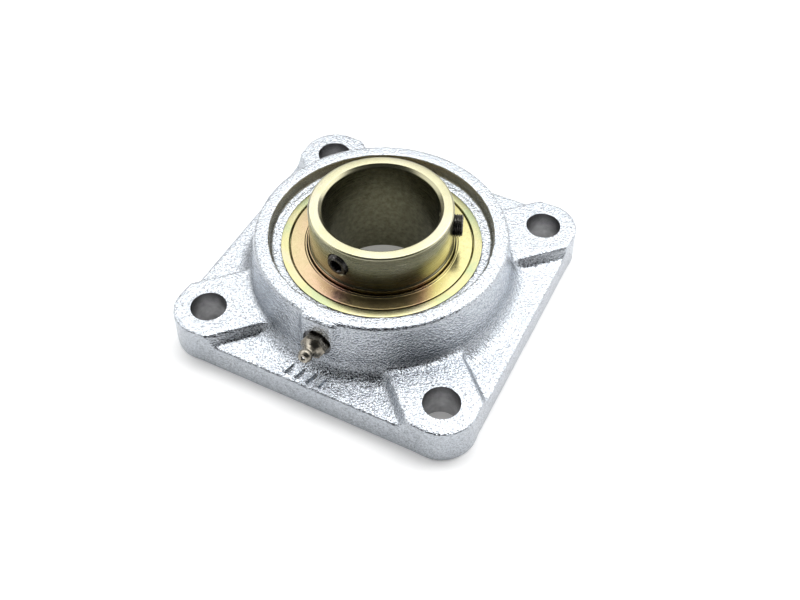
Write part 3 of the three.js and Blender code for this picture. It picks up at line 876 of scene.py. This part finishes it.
RIVET = [(0, -2.0), *arc((0.9, -1.5), 0.6, 235, 360, 6), (1.5, -1.05), (0.8, -1.05), (0.8, 1.05),
         (1.5, 1.05), *arc((0.9, 1.5), 0.6, 0, 125, 6), (0, 2.0)]


def half_circle(radius, step):
    """The outline of a ball, from pole to pole, in steps of whole degrees."""
    angles = [math.radians(a) for a in range(-90, 91, step)]
    return [(radius * math.cos(a), radius * math.sin(a)) for a in angles]


for i in range(BALLS):
    number = f"{i + 1:02d}"
    rivet = turned(f"rivet_{number}", RIVET, 28, False, [CAGE_STEEL])
    moved(rivet, at_pitch(ball_angle(i + 0.5)))
    finished(shade(rivet, 50), "cage", "cage_steel", f"cage_rivet_{number}")
    ball = turned(f"rolling_ball_{number}", half_circle(BALL, 5), 72, False, [BALL_STEEL])
    moved(ball, at_pitch(ball_angle(i)))
    finished(shade(ball, 60), f"ball_{number}", "ball_steel", f"ball_{number}")


def hex_prism(name, flats, low, high, materials=()):
    corner = flats / math.sqrt(3)
    angles = [math.radians(60 * k) for k in range(6)]
    outline = [(corner * math.cos(a), corner * math.sin(a)) for a in angles]
    return prism(name, outline, low, high, materials=materials)


def set_screw(name, node, body, azimuth, face):
    """M10 x 1 grub screw with a hexagon socket and a cup point."""
    tip = -SCREW_LENGTH
    screw = threaded(name, SCREW, SCREW - 0.55, THREAD_PITCH, tip, 0, [BLACK])
    envelope = turned("envelope", [
        (0, tip + 0.9), (1.9, tip), (3.3, tip), (SCREW, tip + 1.2), (SCREW, -0.75), (SCREW - 0.75, 0), (0, 0),
    ], 64, False, [BLACK])
    combine(screw, envelope, "INTERSECT")
    socket = hex_prism("socket", SCREW_FLATS, -3.1, 1, [BLACK])
    drill = turned("drill", [(0, -4.6), (2.45, -3.4), (2.45, -2), (0, -2)], 32, False, [BLACK])
    lead = turned("lead", [(0, -0.55), (2.45, -0.55), (3.4, 0.4), (0, 0.4)], 48, False, [BLACK])
    cut(screw, socket, drill, lead)
    moved(screw, screw_frame(azimuth) @ Matrix.Translation((0, 0, face)))
    return finished(shade(screw, 35), body, "black_oxide", node)


for letter in "ab":
    node = f"set_screw_{letter}"
    set_screw(f"grub_screw_{letter}", node, f"screw_{letter}", *SCREWS[node])

pin_outline = rounded([(0, 43.4), (PIN, 43.4, 0.3), (PIN, 47.3, 0.3), (0, 47.3)], False)
pin = turned("stop_pin", pin_outline, 32, False, [BALL_STEEL])
moved(pin, Matrix.Translation((0, 0, CENTRE)) @ Matrix.Rotation(math.pi / 2, 4, "Y"))
finished(shade(pin), "pin", "ball_steel", "locating_pin")


# ------------------------------------------------------------------ grease nipple

def grease_nipple():
    """Hexagon, waist and ball-check head, screwed into the boss."""
    nipple = threaded(
        "nipple_fitting", NIPPLE_CREST, NIPPLE_ROOT, THREAD_PITCH, -8, 0.4, [NIPPLE_PLATE])
    head = turned("nipple_head", rounded([
        (0, 0.2), (4.6, 0.2), (4.6, 5.2, 0.3), (3.1, 6.6, 1.6), (2.35, 8.3, 1.2), (2.35, 8.9, 0.5),
        (3.0, 9.7, 0.35), (3.0, 10.9, 0.5), (2.1, 12.4, 0.5), (0, 12.4),
    ], False), 72, False, [NIPPLE_PLATE])
    hexagon = hex_prism("nipple_hex", NIPPLE_FLATS, 0.3, 5.2, [NIPPLE_PLATE])
    crown = turned("crown", [
        (0, 0.3), (5.35, 0.3), (5.85, 0.8), (5.85, 4.5), (4.75, 5.2), (0, 5.2),
    ], 72, False, [NIPPLE_PLATE])
    combine(hexagon, crown, "INTERSECT")
    join(nipple, hexagon, head)
    bore = turned("nipple_bore", [
        (0, -9), (1, -9), (1, 3.5), (1.55, 3.5), (1.55, 11.2), (0.9, 11.9), (0.9, 12.1), (1.3, 12.6),
        (0, 12.6),
    ], 36, False, [NIPPLE_PLATE])
    cut(nipple, bore)
    moved(nipple, nipple_frame())
    finished(shade(nipple, 30), "housing", "nipple_plate", "grease_nipple_body")


def wire_helix(name, radius, wire, low, high, turns, materials):
    """A round wire wound along Z."""
    steps, sides = 28 * turns, 10
    vertices = []
    for s in range(steps + 1):
        angle = 2 * math.pi * turns * s / steps
        out = Vector((math.cos(angle), math.sin(angle), 0))
        middle = out * radius + Vector((0, 0, low + (high - low) * s / steps))
        for k in range(sides):
            turn = 2 * math.pi * k / sides
            vertices.append(middle + wire * (out * math.cos(turn) + Vector((0, 0, math.sin(turn)))))
    faces = [tuple(range(sides))[::-1], tuple(range(steps * sides, (steps + 1) * sides))]
    for s in range(steps):
        for k in range(sides):
            n = (k + 1) % sides
            a, b = s * sides, (s + 1) * sides
            faces.append((a + k, a + n, b + n, b + k))
    return tidy(new_piece(name, vertices, faces, materials))


grease_nipple()
spring = wire_helix(
    "check_spring", radius=1.1, wire=0.16, low=4.1, high=9.1, turns=3, materials=[CAGE_STEEL])
moved(spring, nipple_frame())
finished(shade(spring, 60), "housing", "cage_steel", "nipple_spring")
check_ball = turned("check_ball", half_circle(CHECK_BALL, 10), 36, False, [BALL_STEEL])
moved(check_ball, nipple_frame() @ Matrix.Translation((0, 0, CHECK_BALL_OUT)))
finished(shade(check_ball, 60), "check_ball", "ball_steel", "nipple_check_ball")


# ------------------------------------------------------------------ floor, light and camera

def studio_floor():
    """A pale floor under the object that curves up far away."""
    outline = [(0.0, -0.02), (900.0, -0.02)]
    outline += arc((1700, 900), 900, 270, 330, 8)
    floor = turned("studio_floor", outline, 96, False, [floor_paint()])
    shade(floor, 60)


def softbox(name, place, width, height, power):
    """A rectangular light at a place in metres, facing the object."""
    light = bpy.data.lights.new(name, "AREA")
    light.shape = "RECTANGLE"
    light.size, light.size_y = width, height
    light.energy = power
    lamp = bpy.data.objects.new(name, light)
    bpy.context.scene.collection.objects.link(lamp)
    lamp.location = place
    lamp.rotation_mode = "QUATERNION"
    lamp.rotation_quaternion = (place - AIM).to_track_quat("Z", "Y")
    lamp.visible_camera = False


def around(azimuth, elevation, distance):
    """A point seen from the object's middle: azimuth 0 is -Y and 90 is +X, both in degrees."""
    a, e = math.radians(azimuth), math.radians(elevation)
    return Vector((math.sin(a) * math.cos(e), -math.cos(a) * math.cos(e), math.sin(e))) * distance


def photo_camera():
    """The camera that took the photograph, from a least-squares fit to the object's holes and rims."""
    azimuth, elevation = math.radians(28.19473), math.radians(49.13719)
    distance = 0.4504894                         # metres from the middle of the mounting face
    pan, tilt, roll = math.radians(-1.013545), math.radians(-0.56749), math.radians(-1.03259)
    focal = 975.4703 / 800                       # as a share of the picture's width
    back = Vector((
        math.sin(azimuth) * math.cos(elevation),
        -math.cos(azimuth) * math.cos(elevation),
        math.sin(elevation),
    ))
    forward = -back
    right = forward.cross(Vector((0, 0, 1))).normalized()
    up = right.cross(forward)
    turn = Matrix.Rotation(pan, 3, up)
    forward, right = turn @ forward, turn @ right
    turn = Matrix.Rotation(tilt, 3, right)
    forward, up = turn @ forward, turn @ up
    level_right = right * math.cos(roll) + up * math.sin(roll)
    level_up = up * math.cos(roll) - right * math.sin(roll)
    camera = bpy.data.objects.new("photo_camera", bpy.data.cameras.new("photo_camera"))
    camera.data.sensor_width = 36
    camera.data.lens = focal * camera.data.sensor_width
    camera.data.clip_start, camera.data.clip_end = 0.01, 20
    bpy.context.scene.collection.objects.link(camera)
    pose = Matrix((level_right, level_up, -forward)).transposed().to_4x4()
    pose.translation = back * distance
    camera.matrix_world = pose
    bpy.context.scene.camera = camera


def studio_world(strength):
    world = bpy.data.worlds.new("studio")
    world.use_nodes = True
    background = world.node_tree.nodes["Background"]
    background.inputs["Color"].default_value = (0.86, 0.93, 1.0, 1)
    background.inputs["Strength"].default_value = strength
    bpy.context.scene.world = world


CAMERA_SIDE = 28.2                               # azimuth of the camera, in degrees
AIM = Vector((0, 0, 0.02))
studio_floor()
softbox("back_light", around(CAMERA_SIDE + 172, 64, 1.2), 2.0, 0.9, 16)
softbox("low_back_light", around(CAMERA_SIDE + 170, 33, 1.4), 2.2, 0.6, 5.2)
softbox("top_light", around(CAMERA_SIDE + 180, 80, 1.3), 1.2, 0.4, 4)
softbox("left_light", around(CAMERA_SIDE - 100, 35, 1.3), 1.1, 1.0, 6)
softbox("right_light", around(CAMERA_SIDE + 100, 35, 1.3), 1.1, 1.0, 9)
studio_world(0.02)
photo_camera()
bpy.context.scene.view_settings.view_transform = "Standard"
